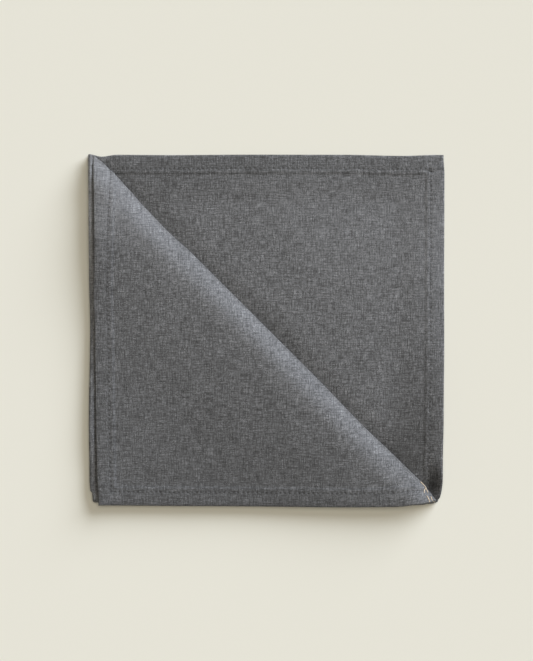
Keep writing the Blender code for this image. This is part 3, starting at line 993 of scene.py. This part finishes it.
def seam_places(sizes):
    """Where the stitches lie: rows of u, v, direction in u, direction in v and side of the cloth."""
    half_u = HALF_WIDTH - sizes.seam_distance
    half_v = HALF_LENGTH - sizes.seam_distance
    pitch = sizes.stitch_pitch
    rows = []
    for side_u, side_v, side in SEWN_QUARTERS:
        for k in range(int(half_v / pitch)):
            rows.append((side_u * half_u, side_v * (k + 0.5) * pitch, 0.0, 1.0, side))
        for k in range(int(half_u / pitch)):
            rows.append((side_u * (k + 0.5) * pitch, side_v * half_v, 1.0, 0.0, side))
    return np.array(rows)


def model_stitch(sizes):
    """One stitch: a ball drawn out, pressed flat and with its two ends bent down into the cloth."""
    length = sizes.stitch_pitch * STITCH_SHARE
    bpy.ops.object.select_all(action="DESELECT")
    bpy.ops.mesh.primitive_uv_sphere_add(segments=6, ring_count=6, radius=0.5, location=(0, 0, 0))
    stitch = bpy.context.object
    stitch.name = "hem_stitches"
    bpy.ops.object.mode_set(mode="EDIT")
    bpy.ops.mesh.select_all(action="SELECT")
    bpy.ops.transform.rotate(value=math.pi / 2, orient_axis="Y", center_override=(0, 0, 0))
    bpy.ops.transform.resize(
        value=(length, sizes.stitch_width, sizes.stitch_width * STITCH_FLATNESS), center_override=(0, 0, 0)
    )
    cage = bmesh.from_edit_mesh(stitch.data)
    for vert in cage.verts:
        vert.select = abs(vert.co.x) > STITCH_END * length
    cage.select_flush_mode()
    bmesh.update_edit_mesh(stitch.data)
    bpy.ops.transform.translate(value=(0, 0, -STITCH_DIP))
    bpy.ops.object.mode_set(mode="OBJECT")
    bpy.ops.object.shade_smooth()
    return stitch


def copy_piece(first, count):
    """Copies a piece until there are as many as asked for, each with its own mesh."""
    pieces = [first]
    while len(pieces) < count:
        bpy.ops.object.select_all(action="DESELECT")
        for piece in pieces[: count - len(pieces)]:
            piece.select_set(True)
        bpy.context.view_layer.objects.active = pieces[0]
        bpy.ops.object.duplicate(linked=False)
        pieces.extend(bpy.context.selected_objects)
    return pieces


def join_pieces(pieces):
    """Joins pieces into the first one and puts its place into its mesh."""
    lone_select(pieces[0])
    for piece in pieces:
        piece.select_set(True)
    bpy.ops.object.join()
    bpy.ops.object.transform_apply(location=True, rotation=True, scale=True)
    return bpy.context.object


class NAPKIN_OT_sew_hems(bpy.types.Operator):
    """Models one stitch and copies it along the seams of the hems that show."""

    bl_idname = "napkin.sew_hems"
    bl_label = "Sew the hems"

    def execute(self, context):
        sizes = context.scene.napkin_sizes
        rows = seam_places(sizes)
        u, v, step_u, step_v, side = rows.T
        outward = wrong_side(u, v)
        over = hem_relief(u, v, sizes) + sizes.cloth_thickness + sizes.stitch_width * STITCH_OVER
        under = right_relief(u, v, sizes) - sizes.stitch_width * STITCH_UNDER
        height = np.where(side > 0, over, under) - SOLID / 2
        places = fold_cloth(u, v) + outward * height[:, None]
        ahead = fold_cloth(u + step_u * NUDGE, v + step_v * NUDGE)
        along = ahead - fold_cloth(u - step_u * NUDGE, v - step_v * NUDGE)
        along = along / np.linalg.norm(along, axis=1)[:, None]
        outward = outward * side[:, None]
        across = np.cross(outward, along)
        stitches = copy_piece(model_stitch(sizes), len(rows))
        for k, stitch in enumerate(stitches):
            turned = Matrix((along[k], across[k], outward[k])).transposed().to_4x4()
            stitch.matrix_world = Matrix.Translation(places[k]) @ turned
        seam = join_pieces(stitches)
        colour = context.scene.napkin_colours.sewing_thread
        seam.data.materials.append(thread_material("sewing_thread", colour, SEWING_TWIST))
        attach(seam, "root")
        return {"FINISHED"}


def lay_thread(points, sheet, width):
    """One loose thread: a soft path through its points, laid on the sheet."""
    bpy.ops.object.select_all(action="DESELECT")
    bpy.ops.curve.primitive_nurbs_path_add(radius=width * 8, location=(0, 0, 0))
    thread = bpy.context.object
    path = thread.data.splines[0]
    for knot, (x, y) in zip(path.points, points):
        found, place, _, _ = sheet.ray_cast(Vector((x, y, LOOSE_THREAD_DROP)), Vector((0, 0, -1)))
        if not found:
            raise RuntimeError("a loose thread lies beside the cloth")
        knot.co = (x, y, place.z + width * LOOSE_THREAD_REST, 1.0)
    path.use_endpoint_u = True
    path.resolution_u = 6
    thread.data.bevel_depth = width / 2
    thread.data.bevel_resolution = 2
    thread.data.use_fill_caps = True
    bpy.ops.object.convert(target="MESH")
    bpy.ops.object.shade_smooth()
    return bpy.context.object


class NAPKIN_OT_lay_threads(bpy.types.Operator):
    """Lays the light loose threads on the lower right corner."""

    bl_idname = "napkin.lay_threads"
    bl_label = "Lay the loose threads"

    def execute(self, context):
        context.view_layer.update()
        sheet = bpy.data.objects["folded_cloth"]
        threads = [lay_thread(points, sheet, LOOSE_THREAD_WIDTH) for points in LOOSE_THREADS]
        loose = join_pieces(threads)
        loose.name = "loose_threads"
        colour = context.scene.napkin_colours.loose_thread
        loose.data.materials.append(thread_material("light_loose_thread", colour, LOOSE_TWIST))
        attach(loose, "root")
        return {"FINISHED"}


class NAPKIN_OT_set_stage(bpy.types.Operator):
    """Lays the pale floor and sets the soft light and the camera straight above the napkin."""

    bl_idname = "napkin.set_stage"
    bl_label = "Set the stage"

    def execute(self, context):
        scene = context.scene
        bpy.ops.object.select_all(action="DESELECT")
        bpy.ops.mesh.primitive_plane_add(size=FLOOR_SIZE, location=(0, 0, 0))
        floor = context.object
        floor.name = "floor"
        paper = bpy.data.materials.new("pale_floor")
        paper.use_nodes = True
        shader = paper.node_tree.nodes["Principled BSDF"]
        shader.inputs["Base Color"].default_value = scene.napkin_colours.floor
        shader.inputs["Roughness"].default_value = 0.9
        shader.inputs["Specular IOR Level"].default_value = 0.1
        floor.data.materials.append(paper)
        sky = bpy.data.worlds.new("soft_room")
        sky.use_nodes = True
        sky.node_tree.nodes["Background"].inputs["Color"].default_value = SKY_COLOUR
        sky.node_tree.nodes["Background"].inputs["Strength"].default_value = SKY_STRENGTH
        scene.world = sky
        for name, azimuth, elevation, spread, energy, colour in LIGHTS:
            light_data = bpy.data.lights.new(name, "SUN")
            light_data.angle = math.radians(spread)
            light_data.energy = energy
            light_data.color = colour
            light = bpy.data.objects.new(name, light_data)
            scene.collection.objects.link(light)
            towards = Vector((
                math.cos(math.radians(azimuth)) * math.cos(math.radians(elevation)),
                math.sin(math.radians(azimuth)) * math.cos(math.radians(elevation)),
                math.sin(math.radians(elevation)),
            ))
            light.rotation_mode = "QUATERNION"
            light.rotation_quaternion = towards.to_track_quat("Z", "Y")
            light.location = towards * 2
        camera_data = bpy.data.cameras.new("camera")
        camera_data.sensor_width = SENSOR
        camera_data.lens = SENSOR * CAMERA_HEIGHT / (IMAGE_HEIGHT * PIXEL)
        camera_data.clip_start = 0.1
        camera_data.clip_end = 20.0
        camera = bpy.data.objects.new("camera", camera_data)
        camera.location = (CAMERA_X, CAMERA_Y, CAMERA_HEIGHT)
        scene.collection.objects.link(camera)
        scene.camera = camera
        scene.view_settings.view_transform = "Standard"
        return {"FINISHED"}


class NAPKIN_PT_panel(bpy.types.Panel):
    """Lists the steps that build the napkin."""

    bl_label = "Folded napkin"
    bl_idname = "NAPKIN_PT_panel"
    bl_space_type = "VIEW_3D"
    bl_region_type = "UI"
    bl_category = "Napkin"

    def draw(self, context):
        layout = self.layout
        for group in (context.scene.napkin_sizes, context.scene.napkin_colours):
            for name in group.__annotations__:
                layout.prop(group, name)
        for step in STEPS:
            layout.operator(step)


CLASSES = (
    NapkinSizes,
    NapkinColours,
    NAPKIN_OT_fold_sheet,
    NAPKIN_OT_sew_hems,
    NAPKIN_OT_lay_threads,
    NAPKIN_OT_set_stage,
    NAPKIN_PT_panel,
)
STEPS = ("napkin.fold_sheet", "napkin.sew_hems", "napkin.lay_threads", "napkin.set_stage")


def register():
    """Registers the classes and hangs the two groups of values on the scene."""
    for cls in CLASSES:
        bpy.utils.register_class(cls)
    bpy.types.Scene.napkin_sizes = bpy.props.PointerProperty(type=NapkinSizes)
    bpy.types.Scene.napkin_colours = bpy.props.PointerProperty(type=NapkinColours)


def unregister():
    """Takes the groups and the classes away again."""
    del bpy.types.Scene.napkin_sizes
    del bpy.types.Scene.napkin_colours
    for cls in reversed(CLASSES):
        bpy.utils.unregister_class(cls)


def main():
    register()
    bpy.ops.napkin.fold_sheet()
    bpy.ops.napkin.sew_hems()
    bpy.ops.napkin.lay_threads()
    bpy.ops.napkin.set_stage()


if __name__ == "__main__":
    main()
